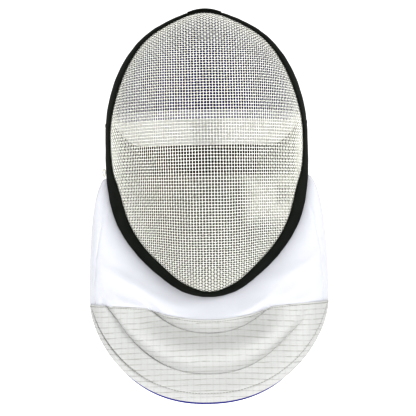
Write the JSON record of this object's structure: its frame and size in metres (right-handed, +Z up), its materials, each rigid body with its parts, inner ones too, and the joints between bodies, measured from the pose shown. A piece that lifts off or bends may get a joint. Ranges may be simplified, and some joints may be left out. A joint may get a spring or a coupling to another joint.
{
  "type": "fencing mask",
  "caption": "Fencing mask with a domed woven wire face, black edging, padded brow, straps and tongue behind the head, and a white bib with a grey conductive front and folds across it",
  "frame": {"origin": "Where the crown of the wearer's head bears on the underside of the brow padding, just inside the top of the rim. The mask hangs from there as it is worn.", "axes": "+Z up as worn, +Y to the back of the head, so the face looks along -Y, and +X to the right of someone looking at the face"},
  "size_m": [0.2538, 0.214, 0.404],
  "materials": {
    "mesh_wire": "glossy coated wire",
    "edging": "matt grained vinyl",
    "blue_cloth": "soft woven",
    "binding": "woven tape",
    "white_elastic": "ribbed elastic",
    "black_elastic": "ribbed elastic",
    "grey_cloth": "soft woven",
    "tongue_cover": "matt grained vinyl",
    "white_cloth": "fine plain weave",
    "conductive_cloth": "metal thread weave with a grid",
    "lining_cloth": "soft woven",
    "clear_loop": "milky, slightly clear"
  },
  "bodies": {
    "root": {"face_mesh": "mesh_wire", "rim_trim": "edging", "brow_pad": "blue_cloth", "brow_binding": "binding", "strap_upper": "white_elastic", "strap_lower": "black_elastic", "neck_flap": "grey_cloth", "back_tongue": "tongue_cover", "bib": "white_cloth", "bib_panel": "conductive_cloth", "bib_lining": "lining_cloth", "side_loop": "clear_loop"}
  },
  "joints": []
}
